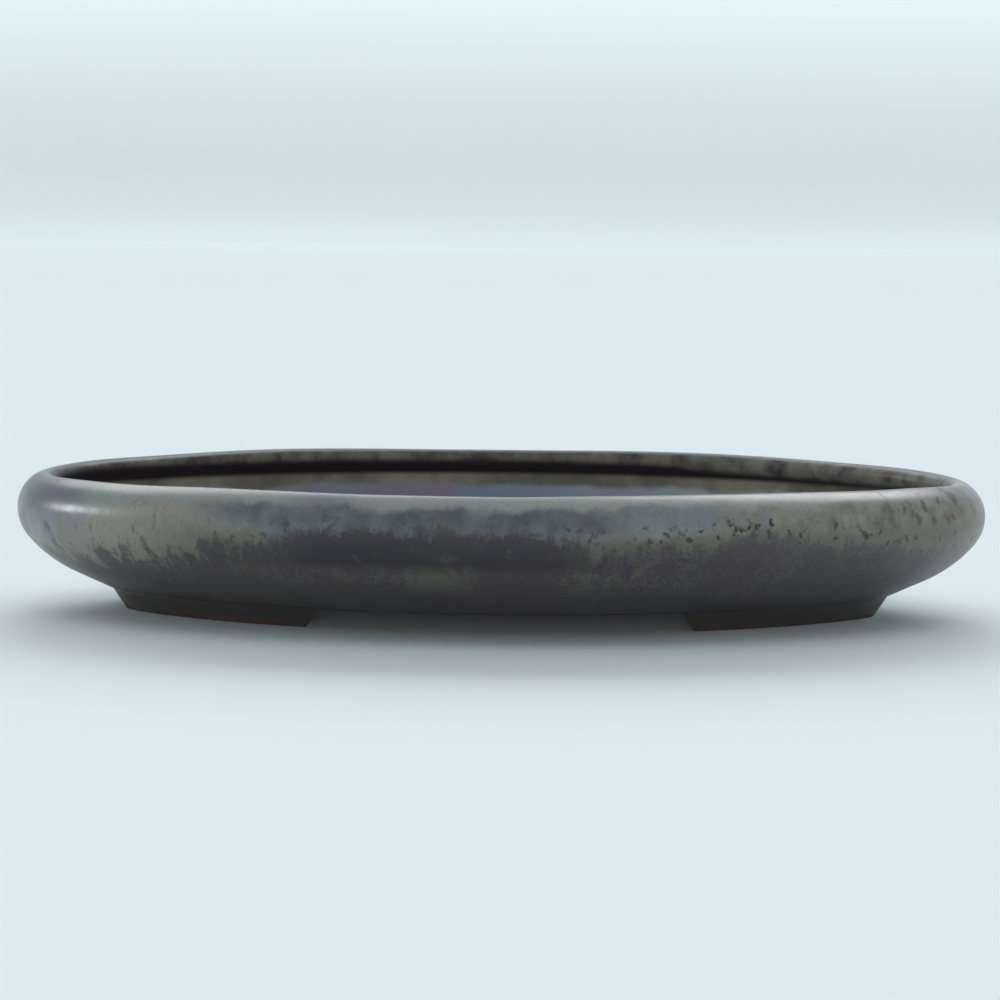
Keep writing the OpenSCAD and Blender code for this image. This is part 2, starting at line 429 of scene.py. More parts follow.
DRAIN_RADIUS = 10 * MM
DRAIN_OFFSET = 58 * MM           # from the tray's middle, along its length
WIRE_HOLE_RADIUS = 2.25 * MM
WIRE_HOLE_X = 25 * MM
WIRE_HOLE_Y = 14 * MM
HOLE_ROUND = 0.8 * MM            # radius of the holes' rims
ROUND_STEPS = 5                  # along a rim's radius
DRAIN_SIDES = 96
WIRE_HOLE_SIDES = 40
FLOOR_SPACING = 2 * MM           # between points along the slab's outline


def ring_of_points(centre, radius, count, up):
    turns = [2 * math.pi * i / count for i in range(count)]
    return [Vector((centre[0] + radius * math.cos(a), centre[1] + radius * math.sin(a), up)) for a in turns]


def hole_rings(centre, radius, count):
    """Rings down a hole whose rims are rounded, from the floor's top to its underside."""
    rings = []
    for k in range(ROUND_STEPS + 1):
        angle = math.pi / 2 * k / ROUND_STEPS
        rings.append((radius + HOLE_ROUND * (1 - math.sin(angle)), HOLE_ROUND * (1 - math.cos(angle))))
    thickness = floor_top - foot_top
    rings += [(wide, thickness - down) for wide, down in reversed(rings)]
    return [ring_of_points(centre, wide, count, floor_top - down) for wide, down in rings]


def make_floor(material):
    work = bmesh.new()
    outline = [place(column, -floor_inset, 0) for column in oval_columns(FLOOR_SPACING)]

    def add_loop(points):
        loop = [work.verts.new(p) for p in points]
        edges = [work.edges.new((loop[i - 1], loop[i])) for i in range(len(loop))]
        return loop, edges

    def bridge(upper, lower):
        for i in range(len(upper)):
            work.faces.new((upper[i - 1], upper[i], lower[i], lower[i - 1]))

    top, top_edges = add_loop([Vector((p.x, p.y, floor_top)) for p in outline])
    under, under_edges = add_loop([Vector((p.x, p.y, foot_top)) for p in outline])
    bridge(top, under)
    flat_edges = [top_edges, under_edges]
    holes = [((x * DRAIN_OFFSET, 0), DRAIN_RADIUS, DRAIN_SIDES) for x in (-1, 1)]
    holes += [((x * WIRE_HOLE_X, y * WIRE_HOLE_Y), WIRE_HOLE_RADIUS, WIRE_HOLE_SIDES)
              for x in (-1, 1) for y in (-1, 1)]
    for centre, radius, count in holes:
        loops = [add_loop(points) for points in hole_rings(centre, radius, count)]
        for (upper, _), (lower, _) in zip(loops, loops[1:]):
            bridge(upper, lower)
        flat_edges[0] = flat_edges[0] + loops[0][1]
        flat_edges[1] = flat_edges[1] + loops[-1][1]
    for edges in flat_edges:
        bmesh.ops.triangle_fill(work, edges=edges, use_beauty=True, use_dissolve=False)
    bmesh.ops.recalc_face_normals(work, faces=work.faces)
    for edge in flat_edges[0] + flat_edges[1]:
        edge.smooth = False
    for face in work.faces:
        face.smooth = True
    piece = add_work("floor_slab", work, material)
    finish_piece(piece, "bare_clay", "tray_floor")


# ---------------------------------------------------------------- screens and clips

screen_low, screen_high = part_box("drain_screen_right")
clip_low, clip_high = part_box("screen_clip_right")
SCREEN_CELLS = 11                # along a side
STRAND = 0.9 * MM
screen_side = screen_high.x - screen_low.x
screen_pitch = (screen_side - STRAND) / SCREEN_CELLS


def make_screen(name, x_side, material):
    """A moulded mesh: strands with rounded backs that swell a little where they cross."""
    starts = [i * screen_pitch - screen_side / 2 for i in range(SCREEN_CELLS + 1)]
    edges_at = sorted(start + off for start in starts for off in (0, STRAND))
    middle = Vector((x_side * DRAIN_OFFSET, 0, (screen_low.z + screen_high.z) / 2))
    work = bmesh.new()
    grid = [[work.verts.new(middle + Vector((x, y, 0))) for y in edges_at] for x in edges_at]
    last = len(edges_at) - 1
    for i in range(last):
        for j in range(last):
            if i % 2 == 0 or j % 2 == 0:
                work.faces.new((grid[i][j], grid[i + 1][j], grid[i + 1][j + 1], grid[i][j + 1]))
    bmesh.ops.recalc_face_normals(work, faces=work.faces)
    piece = add_work(name, work, material)
    piece.data.shade_smooth()
    shell = piece.modifiers.new("thickness", "SOLIDIFY")
    shell.thickness = screen_high.z - screen_low.z
    shell.offset = 0
    soft = piece.modifiers.new("rounding", "SUBSURF")
    soft.levels = soft.render_levels = 2
    finish_piece(piece, "screen_plastic", "drain_" + name.replace("mesh_", "screen_"))


CLIP_WIRE = 1.5 * MM             # diameter
CLIP_LOOP = 4.6 * MM             # radius of the loops, along the wire's middle
CLIP_TAIL = 13 * MM              # from a leg to its tail's end
WIRE_SIDES = 16
CAP_SHARES = (0.35, 0.7, 1.0)    # where the rings of a wire's rounded end lie, from its root to its tip
CAP_LENGTH = 0.6                 # of a rounded end, in wire radii
CAP_NARROWING = 0.9              # 1 would bring the tip to a point; this leaves a small flat


def bend_points(centre, radius, start, end, steps):
    """Points along a bend of the wire, with both its ends."""
    return [on_circle(centre, radius, start + (end - start) * i / steps) for i in range(steps + 1)]


def clip_path():
    """The clip's centreline: a bar over the screen, a loop at each end, and two legs folded out below."""
    top = clip_high.z - CLIP_WIRE / 2
    under = clip_low.z + CLIP_WIRE / 2
    leg_x, leg_y = 2 * screen_pitch, screen_pitch        # the middle of a cell, through which a leg goes
    bend = CLIP_WIRE
    loop = bend_points((leg_x + CLIP_LOOP, CLIP_LOOP), CLIP_LOOP, -90, 180, 36)
    half = [Vector((x, y, top)) for x, y in loop]
    leg_top = bend_points((leg_y + bend, top - bend), bend, 90, 180, 8)
    half += [Vector((leg_x, y, z)) for y, z in leg_top]
    leg_foot = bend_points((leg_x + bend, under + bend), bend, 180, 270, 8)
    half += [Vector((x, leg_y, z)) for x, z in leg_foot]
    half.append(Vector((leg_x + CLIP_TAIL, leg_y, under)))
    turned = [Vector((-p.x, -p.y, p.z)) for p in reversed(half)]
    return turned + half


def cap_rings(ring, sign):
    """The rings that round a wire's end over, from its root to its tip; sign is -1 at the path's start."""
    point, way, across, radius = ring
    rings = []
    for share in CAP_SHARES:
        narrow = radius * math.sqrt(1 - share * share * CAP_NARROWING)
        rings.append((point + way * (sign * radius * CAP_LENGTH * share), way, across, narrow))
    return rings


def sweep(name, path, radius, material):
    """A round wire along a path, with its ends rounded over."""
    side = Vector((0, 1, 0.01))      # a start that does not lie along the wire
    last = len(path) - 1
    rings = []
    for i, point in enumerate(path):
        way = (path[min(i + 1, last)] - path[max(i - 1, 0)]).normalized()
        side = (side - way * side.dot(way)).normalized()
        rings.append((point, way, side.copy(), radius))
    rings = cap_rings(rings[0], -1)[::-1] + rings + cap_rings(rings[-1], 1)
    vertices = []
    for point, way, across, wide in rings:
        up = way.cross(across)
        for k in range(WIRE_SIDES):
            angle = 2 * math.pi * k / WIRE_SIDES
            vertices.append(point + (across * math.cos(angle) + up * math.sin(angle)) * wide)
    faces = tube_faces(len(rings), WIRE_SIDES, closed_columns=False)
    faces.append(tuple(range(WIRE_SIDES - 1, -1, -1)))
    first = (len(rings) - 1) * WIRE_SIDES
    faces.append(tuple(first + k for k in range(WIRE_SIDES)))
    return add_mesh(name, vertices, faces, material)


def make_clip(name, x_side, material):
    middle = Vector((x_side * DRAIN_OFFSET, 0, 0))
    piece = sweep(name, [p + middle for p in clip_path()], CLIP_WIRE / 2, material)
    finish_piece(piece, "clip_wire", name.replace("wire_", "screen_"))


# ---------------------------------------------------------------- materials

class Nodes:
    """A material's node tree, with short calls that add nodes and join them."""

    def __init__(self, name):
        self.material = bpy.data.materials.new(name)
        self.material.use_nodes = True
        self.tree = self.material.node_tree
        self.shader = self.tree.nodes["Principled BSDF"]

    def put(self, socket, value):
        if isinstance(value, bpy.types.NodeSocket):
            self.tree.links.new(value, socket)
        else:
            socket.default_value = value

    def add(self, kind, inputs=None, **settings):
        node = self.tree.nodes.new("ShaderNode" + kind)
        for key, value in settings.items():
            setattr(node, key, value)
        for key, value in (inputs or {}).items():
            self.put(node.inputs[key], value)
        return node

    def surface(self, name, value):
        self.put(self.shader.inputs[name], value)

    def math(self, operation, a, b):
        return self.add("Math", {0: a, 1: b}, operation=operation).outputs[0]

    def plus(self, first, *others):
        for other in others:
            first = self.math("ADD", first, other)
        return first

    def times(self, first, *others):
        for other in others:
            first = self.math("MULTIPLY", first, other)
        return first

    def minus(self, a, b):
        return self.math("SUBTRACT", a, b)

    def position(self):
        return self.add("TexCoord").outputs["Object"]

    def stretched(self, vector, scale, rotation=(0, 0, 0)):
        inputs = {"Vector": vector, "Scale": scale, "Rotation": [math.radians(a) for a in rotation]}
        return self.add("Mapping", inputs).outputs[0]

    def drawn_out(self, flow, share):
        """The flow with its run shortened to a share, so that noise on it stretches down the wall."""
        return self.stretched(flow, (1, 1, share))

    def noise(self, vector, size, detail=3.0, roughness=0.55):
        """Fractal noise from 0 to 1 about 0.5, with features about as large as size, in metres."""
        inputs = {"Vector": vector, "Scale": 0.5 / size, "Detail": detail, "Roughness": roughness}
        return self.add("TexNoise", inputs).outputs[0]

    def swing(self, vector, size, detail=3.0, roughness=0.55):
        """The same noise about 0."""
        return self.minus(self.noise(vector, size, detail, roughness), 0.5)

    def smooth(self, value, low, high):
        """0 up to low, 1 from high, and smooth between; low may be the larger."""
        inputs = {"Value": value, "From Min": low, "From Max": high}
        return self.add("MapRange", inputs, interpolation_type="SMOOTHSTEP").outputs[0]

    def mix(self, factor, a, b):
        node = self.add("Mix", data_type="RGBA")
        self.put(node.inputs["Factor"], factor)
        self.put(node.inputs[6], a)
        self.put(node.inputs[7], b)
        return node.outputs[2]

    def ramp(self, value, stops):
        """A smooth grey curve through (place, value) stops."""
        node = self.add("ValToRGB", {"Fac": value})
        ramp = node.color_ramp
        ramp.interpolation = "EASE"
        while len(ramp.elements) < len(stops):
            ramp.elements.new(0.5)
        for element, (stop, grey) in zip(ramp.elements, stops):
            element.position = stop
            element.color = (grey, grey, grey, 1)
        return self.add("SeparateColor", {0: node.outputs[0]}).outputs[0]

    def level(self, around, height_map):
        """The height in millimetres that a map gives."""
        return self.times(self.ramp(around, height_map), MAP_HEIGHT)

    def bump(self, relief, strength, distance):
        """Fine relief, as deep as distance where relief goes from 0 to 1."""
        node = self.add("Bump", {"Strength": strength, "Distance": distance, "Height": relief})
        self.surface("Normal", node.outputs[0])


def colour(red, green, blue):
    """A colour given as screen values from 0 to 255."""
    return tuple((((c / 255) + 0.055) / 1.055) ** 2.4 if c > 10 else c / 255 / 12.92
                 for c in (red, green, blue)) + (1.0,)


KHAKI = colour(116, 118, 104)
KHAKI_PALE = colour(150, 149, 135)
OLIVE = colour(98, 101, 86)
SLATE = colour(77, 88, 98)
SLATE_PALE = colour(128, 138, 142)
# Pale blue-grey of the crest: partly the glaze, partly a painted reflection of bright light on the lip.
RIM_AND_REFLECTION = colour(149, 156, 151)
MAUVE = colour(110, 119, 129)
BASE = colour(82, 76, 80)
BASE_PALE = colour(100, 96, 100)
BASE_DARK = colour(71, 65, 69)
NIGHT = colour(54, 50, 56)
# Painted shade: the dark band under the inside of the lip.
PAINTED_LIP_SHADE = colour(48, 44, 48)
FLECK = colour(106, 106, 91)
# Glaze colours inside, made paler with painted light where the inner wall catches light from above; the
# palest is a painted reflection.
INNER_SLATE_PAINTED_LIGHT = colour(140, 156, 178)
INNER_MAUVE_PAINTED_LIGHT = colour(150, 140, 162)
INNER_KHAKI_PAINTED_LIGHT = colour(160, 158, 138)
INNER_PAINTED_REFLECTION = colour(186, 202, 216)
# Pale khaki on the inside of the lip, with a painted sheen.
LIP_PALE_AND_SHEEN = colour(150, 152, 142)
FOOT = colour(62, 58, 56)
PIT = colour(52, 46, 44)
CLAY = colour(92, 62, 54)
CLAY_DARK = colour(76, 49, 42)
PLASTIC = colour(22, 24, 23)
PLASTIC_DUSTY = colour(44, 45, 42)
WIRE = colour(186, 184, 180)
WIRE_DULL = colour(140, 137, 132)
STAGE = colour(222, 234, 239)


def clay_colour(n, position):
    blotches = n.noise(position, 9 * MM, 3)
    grit = n.noise(position, 0.7 * MM, 2)
    shade = n.smooth(n.plus(blotches, n.times(grit, 0.5)), 0.55, 0.95)
    return n.mix(shade, CLAY_DARK, CLAY)


# Each map says how a part of the glaze, with any light painted on it, changes round the tray, as (turn,
# value)
# stops: turn 0 and 1 at the back, 0.25 at the left end, 0.5 in front and 0.75 at the right end. A height is a
# share of MAP_HEIGHT.
MAP_HEIGHT = 40.0                # in millimetres, as every height in the glaze

# The upper coat's lower edge: its height, how ragged it is, and how many pits lie along it.
EDGE_MAP = [(0.0, 0.58), (0.12, 0.62), (0.25, 0.46), (0.295, 0.45), (0.33, 0.44), (0.36, 0.49),
            (0.39, 0.57), (0.41, 0.66), (0.43, 0.72), (0.48, 0.74), (0.515, 0.70), (0.545, 0.60),
            (0.575, 0.62), (0.60, 0.68), (0.645, 0.60), (0.68, 0.55), (0.75, 0.49), (0.86, 0.56),
            (1.0, 0.58)]
RAGGED_MAP = [(0.0, 0.5), (0.26, 0.6), (0.32, 1.0), (0.38, 0.9), (0.42, 0.35), (0.5, 0.35), (0.55, 0.6),
              (0.70, 0.5), (0.85, 0.8), (1.0, 0.5)]
PIT_MAP = [(0.0, 0.6), (0.3, 0.7), (0.40, 0.6), (0.45, 0.2), (0.5, 0.2), (0.54, 0.8), (0.6, 1.0),
           (0.7, 1.0), (0.8, 0.5), (1.0, 0.6)]

# Slate blue in the coat: how much there is, how pale it is, and the height down to which it lies.
BLUE_MAP = [(0.0, 0.4), (0.12, 0.1), (0.22, 0.3), (0.275, 0.45), (0.29, 0.9), (0.31, 0.6), (0.33, 0.15),
            (0.36, 0.5), (0.39, 0.8), (0.43, 1.0), (0.52, 1.0), (0.54, 0.6), (0.57, 0.72), (0.60, 0.55),
            (0.635, 0.1), (0.72, 0.1), (0.82, 0.6), (0.92, 0.2), (1.0, 0.4)]
PALE_MAP = [(0.0, 0.2), (0.24, 0.2), (0.28, 0.5), (0.32, 0.4), (0.37, 0.5), (0.41, 0.15), (0.50, 0.08),
            (0.54, 0.15), (0.57, 0.65), (0.61, 0.75), (0.66, 0.4), (1.0, 0.2)]
BLUE_LOW_MAP = [(0.0, 0.7), (0.27, 0.5), (0.30, 0.5), (0.33, 0.76), (0.38, 0.74), (0.42, 0.66),
                (0.52, 0.66), (0.55, 0.72), (0.62, 0.76), (0.75, 0.7), (1.0, 0.7)]

# Khaki in the coat: how pale it is, how olive it turns lower down, and the dark spots on it.
LIGHT_MAP = [(0.0, 0.1), (0.26, 0.3), (0.33, 0.62), (0.36, 0.3), (0.42, 0.1), (1.0, 0.1)]
OLIVE_MAP = [(0.0, 1.0), (0.27, 0.9), (0.33, 0.3), (0.39, 0.9), (1.0, 1.0)]
SPOT_MAP = [(0.0, 0.0), (0.655, 0.0), (0.675, 1.0), (0.71, 0.9), (0.725, 0.2), (0.9, 0.3), (1.0, 0.0)]

# The crest: how pale it is, partly in the glaze's own colour and partly as a painted reflection, and where
# its colour reaches further down.
RIM_MAP = [(0.0, 0.3), (0.2, 0.2), (0.26, 0.0), (0.305, 0.0), (0.325, 0.8), (0.40, 0.8), (0.425, 0.25),
           (0.45, 0.9), (0.60, 1.0), (0.73, 0.8), (0.79, 0.3), (1.0, 0.3)]
RIM_DEEP_MAP = [(0.0, 0.0), (0.24, 0.2), (0.28, 1.0), (0.32, 0.9), (0.35, 0.0), (1.0, 0.0)]

# The base: how dark it is under the coat's edge, its olive flecks, and the moss green near the foot.
NIGHT_MAP = [(0.0, 0.2), (0.27, 0.1), (0.34, 0.35), (0.40, 0.5), (0.43, 1.0), (0.50, 0.9), (0.53, 0.7),
             (0.56, 0.2), (0.75, 0.0), (0.9, 0.5), (1.0, 0.2)]
FLECK_MAP = [(0.0, 0.5), (0.2, 0.6), (0.33, 0.35), (0.41, 0.4), (0.45, 0.6), (0.47, 0.75), (0.5, 0.6),
             (0.555, 0.9), (0.59, 0.5), (0.64, 0.25), (0.72, 0.3), (0.85, 0.7), (1.0, 0.5)]
MOSS_MAP = [(0.0, 0.4), (0.3, 0.8), (0.42, 0.6), (0.47, 0.0), (0.8, 0.1), (1.0, 0.4)]

# Inside: how far the front keeps the coat's own darker colours instead of the painted light that the back
# and the ends get, how pale the painted reflection is low down, how pale the lip is with its painted sheen,
# and the height of the lip's lower edge.
FRONT_MAP = [(0.0, 0.0), (0.22, 0.0), (0.30, 0.75), (0.70, 0.75), (0.78, 0.0), (1.0, 0.0)]
INNER_PAINTED_REFLECTION_MAP = [(0.0, 0.1), (0.5, 0.0), (0.74, 0.2), (0.80, 0.7), (0.90, 0.8), (0.95, 0.5), (1.0, 0.1)]
LIP_PALE_AND_SHEEN_MAP = [(0.0, 0.1), (0.6, 0.0), (0.70, 0.3), (0.76, 0.9), (0.83, 0.8), (0.9, 0.3), (1.0, 0.1)]
LIP_MAP = [(0.0, 0.88), (0.12, 0.88), (0.2, 0.89), (0.3, 0.89), (0.7, 0.81), (0.8, 0.80), (0.88, 0.82),
           (0.93, 0.87), (1.0, 0.88)]

# How strongly the outside mirrors light.
SHINE_MAP = [(0.0, 0.1), (0.22, 0.12), (0.27, 0.5), (0.73, 0.5), (0.78, 0.12), (1.0, 0.1)]

# Heights between which a layer of the glaze comes in, from where there is none to where it is whole; the
# last is the painted shade under the lip.
FLECKS_IN = (11.0, 16.0)
NIGHT_LOW_END = (17.0, 21.0)
NIGHT_HIGH_END = (32.0, 27.0)
MOSS_IN = (13.0, 8.0)
FOOT_IN = (6.6, 4.6)
OLIVE_IN = (32.0, 26.0)
SPOTS_IN = (27.0, 29.0)
STRIP_IN = (26.5, 28.5)
# Where the painted shade under the lip comes in.
PAINTED_LIP_SHADE_IN = (30.0, 31.8)


def glaze_base(n, position, flow, height, around):
    """The coat that lies on the clay: purple-brown with fine pale grain and olive flecks."""
    grain = n.noise(position, 0.35 * MM, 3, 0.6)
    base = n.mix(n.smooth(grain, 0.36, 0.66), BASE_DARK, BASE_PALE)
    base = n.mix(n.smooth(n.noise(position, 10 * MM, 2), 0.35, 0.65), base, BASE)
    patches = n.times(n.noise(n.drawn_out(flow, 0.5), 6 * MM, 2), 0.7)
    flecks = n.plus(n.noise(n.drawn_out(flow, 0.6), 1.0 * MM, 4, 0.7), patches)
    flecks = n.times(n.smooth(flecks, 0.80, 1.0), n.ramp(around, FLECK_MAP), n.smooth(height, *FLECKS_IN))
    base = n.mix(flecks, base, FLECK)
    mottle = n.smooth(n.noise(position, 3 * MM, 3), 0.2, 0.45)
    night = n.times(n.smooth(height, *NIGHT_LOW_END), n.smooth(height, *NIGHT_HIGH_END), mottle)
    base = n.mix(n.times(night, n.ramp(around, NIGHT_MAP)), base, NIGHT)
    moss = n.times(n.smooth(height, *MOSS_IN), n.smooth(n.noise(position, 8 * MM, 3), 0.45, 0.65))
    base = n.mix(n.times(moss, n.ramp(around, MOSS_MAP)), base, OLIVE)
    return n.mix(n.smooth(height, *FOOT_IN), base, FOOT)


def glaze_coat(n, position, flow, height, run, around):
    """The coat that ran down from the rim: khaki, with slate blue where it lies thick, and a pale crest that
    is partly a painted reflection.
    """
    light = n.plus(n.noise(position, 3 * MM, 4, 0.65), n.ramp(around, LIGHT_MAP))
    khaki = n.mix(n.smooth(light, 0.35, 0.85), KHAKI, KHAKI_PALE)
    olive = n.times(n.smooth(height, *OLIVE_IN), n.ramp(around, OLIVE_MAP))
    khaki = n.mix(olive, khaki, OLIVE)
    pale = n.plus(n.noise(position, 3 * MM, 4, 0.5), n.ramp(around, PALE_MAP))
    slate = n.mix(n.smooth(pale, 0.2, 1.25), SLATE, SLATE_PALE)
    clouds = n.swing(n.drawn_out(flow, 0.8), 9 * MM, 4, 0.6)
    above = n.plus(n.minus(height, n.level(around, BLUE_LOW_MAP)), n.times(clouds, 8.0))
    blue = n.plus(n.ramp(around, BLUE_MAP), n.times(clouds, 1.8))
    blue = n.times(n.smooth(blue, 0.28, 0.78), n.smooth(above, -1.8, 2.2))
    coat = n.mix(blue, khaki, slate)
    thin = n.noise(n.drawn_out(flow, 0.4), 0.9 * MM, 4, 0.7)
    coat = n.mix(n.times(n.smooth(thin, 0.5, 0.8), 0.5), coat, BASE)
    # The crest's pale colour is partly a painted reflection.
    crest_and_reflection = n.mix(n.ramp(around, RIM_MAP), MAUVE, RIM_AND_REFLECTION)
    crest_run = n.plus(run, n.times(clouds, 12.0))
    crest_run = n.minus(crest_run, n.times(n.ramp(around, RIM_DEEP_MAP), 7.0))
    return n.mix(n.smooth(crest_run, 7.0, 4.4), coat, crest_and_reflection)


def glaze_inside(n, position, height, around):
    """Inside the rim: painted shade under the lip, then a khaki strip, then slate with mauve clouds; at the
    back and the ends the strip and the slate carry painted light and a painted reflection.
    """
    front = n.ramp(around, FRONT_MAP)
    # The lower inside wall: slate and mauve glaze with painted light and a painted reflection, which in front
    # give way to the coat's own slate.
    low = n.mix(n.smooth(n.noise(position, 20 * MM, 2), 0.42, 0.58), INNER_SLATE_PAINTED_LIGHT, INNER_MAUVE_PAINTED_LIGHT)
    low = n.mix(n.ramp(around, INNER_PAINTED_REFLECTION_MAP), low, INNER_PAINTED_REFLECTION)
    low = n.mix(front, low, SLATE)
    # The khaki strip, with painted light except in front.
    strip = n.mix(n.smooth(n.noise(position, 9 * MM, 4), 0.35, 0.65), KHAKI, INNER_KHAKI_PAINTED_LIGHT)
    strip = n.mix(front, strip, KHAKI)
    strip_height = n.plus(height, n.times(n.swing(position, 14 * MM, 3), 8.0))
    wall = n.mix(n.smooth(strip_height, *STRIP_IN), low, strip)
    # Painted shade in the band under the lip.
    wall = n.mix(n.smooth(height, *PAINTED_LIP_SHADE_IN), wall, PAINTED_LIP_SHADE)
    lip = n.mix(n.smooth(n.noise(position, 4 * MM, 4, 0.6), 0.33, 0.67), BASE_DARK, KHAKI)
    # Pale khaki with a painted sheen on the lip, mostly at the right end.
    pale = n.times(n.ramp(around, LIP_PALE_AND_SHEEN_MAP), n.smooth(n.noise(position, 3 * MM, 4), 0.3, 0.65))
    lip = n.mix(pale, lip, LIP_PALE_AND_SHEEN)
    above = n.minus(height, n.level(around, LIP_MAP))
    return n.mix(n.smooth(above, -1.2, 1.0), wall, lip)


def above_edge(n, position, flow, height, around):
    """How far a point is above the upper coat's ragged lower edge, in millimetres."""
    wander = n.swing(n.drawn_out(flow, 0.6), 7 * MM, 2)
    streaks = n.swing(n.drawn_out(flow, 0.42), 2.2 * MM, 4, 0.6)
    grain = n.swing(position, 0.45 * MM, 4, 0.7)
    above = n.minus(height, n.level(around, EDGE_MAP))
    above = n.plus(above, n.times(wander, 7.0))
    above = n.plus(above, n.times(streaks, n.ramp(around, RAGGED_MAP), 25.0))
    return n.plus(above, n.times(grain, 7.0))


def glaze_pits(n, position, above, around):
    """Pits along the upper coat's lower edge."""
    pits = n.smooth(n.noise(position, 1.3 * MM, 3, 0.5), 0.57, 0.66)
    band = n.times(n.smooth(above, -1.5, 0.5), n.smooth(above, 7.0, 2.5))
    return n.times(pits, band, n.ramp(around, PIT_MAP))


def glaze_marks(n, outside, position, height, around, pits):
    """The outside's colour with dark spots, pits and fine specks on it."""
    spots = n.smooth(n.noise(position, 2.4 * MM, 3), 0.50, 0.62)
    spots = n.times(spots, n.ramp(around, SPOT_MAP), n.smooth(height, *SPOTS_IN))
    outside = n.mix(n.times(spots, 0.6), outside, PIT)
    outside = n.mix(pits, outside, PIT)
    specks = n.smooth(n.noise(position, 0.32 * MM, 2, 0.6), 0.48, 0.72)
    return n.mix(n.times(specks, 0.22), outside, PIT)


def make_glaze():
    n = Nodes("glaze")
    position = n.position()
    flow = n.add("Attribute", attribute_name="flow").outputs["Vector"]
    around = n.add("TexGradient", {0: n.stretched(position, (1, 1, 1), (0, 0, 90))},
                   gradient_type="RADIAL").outputs[1]
    height = n.math("DIVIDE", n.add("SeparateXYZ", {0: position}).outputs[2], MM)
    run = n.math("DIVIDE", n.add("SeparateXYZ", {0: flow}).outputs[2], MM)
    above = above_edge(n, position, flow, height, around)
    cover = n.smooth(above, -1.8, 1.8)
    pits = glaze_pits(n, position, above, around)
    outside = n.mix(cover, glaze_base(n, position, flow, height, around),
                    glaze_coat(n, position, flow, height, run, around))
    outside = glaze_marks(n, outside, position, height, around, pits)
    body = n.mix(n.smooth(run, -1.0, -2.5), outside, glaze_inside(n, position, height, around))

    # Bare clay beyond the glaze's ragged edge.
    margin = n.add("Attribute", attribute_name="glaze_margin").outputs["Fac"]
    fringe = n.times(n.swing(position, 5 * MM, 4), 5.0)
    glazed = n.smooth(n.plus(margin, fringe), -0.3, 0.3)
    n.surface("Base Color", n.mix(glazed, clay_colour(n, position), body))

    # The glaze is glossier than the clay, and most of all where the coat covers it.
    rough = n.plus(0.26, n.times(n.noise(position, 4 * MM, 3), 0.2), n.times(cover, -0.04))
    n.surface("Roughness", n.add("Mix", {0: glazed, 2: 0.85, 3: rough}).outputs[0])
    shine = n.times(n.ramp(around, SHINE_MAP), n.smooth(run, -6.0, 0.0))
    n.surface("Specular IOR Level", n.plus(shine, 0.06))

    relief = n.plus(n.noise(position, 2.5 * MM, 3), n.times(n.noise(position, 0.8 * MM, 3), 0.35))
    relief = n.plus(relief, n.times(cover, 0.35))
    relief = n.minus(relief, n.times(pits, 0.8))
    n.bump(relief, 0.6, 0.15 * MM)
    return n.material


def make_plain(name, tint, roughness):
    n = Nodes(name)
    n.surface("Base Color", tint)
    n.surface("Roughness", roughness)
    n.surface("Specular IOR Level", 0.0)
    return n.material


def make_clay():
    n = Nodes("bare_clay")
    position = n.position()
    n.surface("Base Color", clay_colour(n, position))
    n.surface("Roughness", n.plus(0.75, n.times(n.noise(position, 3 * MM), 0.2)))
    n.surface("Specular IOR Level", 0.1)
    n.bump(n.plus(n.noise(position, 0.9 * MM, 4), n.noise(position, 7 * MM, 2)), 0.7, 0.15 * MM)
    return n.material


def make_plastic():
    n = Nodes("screen_plastic")
    position = n.position()
    dust = n.smooth(n.noise(position, 3 * MM, 4), 0.5, 0.8)
    n.surface("Base Color", n.mix(dust, PLASTIC, PLASTIC_DUSTY))
    n.surface("Roughness", n.plus(0.38, n.times(dust, 0.25)))
    n.bump(n.noise(position, 0.5 * MM, 3), 0.3, 0.05 * MM)
    return n.material


def make_wire():
    n = Nodes("clip_wire")
    position = n.position()
    dull = n.noise(position, 2 * MM, 4)
    n.surface("Base Color", n.mix(n.smooth(dull, 0.35, 0.7), WIRE, WIRE_DULL))
    n.surface("Metallic", 1.0)
    n.surface("Roughness", n.plus(0.28, n.times(dull, 0.25)))
    n.bump(n.noise(n.stretched(position, (1, 6, 1)), 0.5 * MM, 3), 0.25, 0.03 * MM)
    return n.material


glaze = make_glaze()
bare_clay = make_clay()
make_wall(glaze)
make_floor(bare_clay)
for x_side, x_word in ((-1, "left"), (1, "right")):
    for y_side, y_word in ((-1, "front"), (1, "back")):
        make_foot(f"clay_foot_{y_word}_{x_word}", x_side, y_side, glaze)
    make_screen(f"mesh_{x_word}", x_side, make_plastic())
    make_clip(f"wire_clip_{x_word}", x_side, make_wire())

# ---------------------------------------------------------------- floor, backdrop and light

SHEET_HALF = 6.0                 # metres, as the rest of the stage
STAGE_FRONT = -3.0
STAGE_BACK = 4.2
BACKDROP_CURVE = 3.0             # radius
BACKDROP_STEPS = 24


def make_sheet(name, profile, material):
    """A sheet wide enough to fill the view, along (y, z) points."""
    vertices = [Vector((side, y, z)) for y, z in profile for side in (-SHEET_HALF, SHEET_HALF)]
    faces = [(2 * i, 2 * i + 1, 2 * i + 3, 2 * i + 2) for i in range(len(profile) - 1)]
    sheet = add_mesh(name, vertices, faces, material)
    return sheet


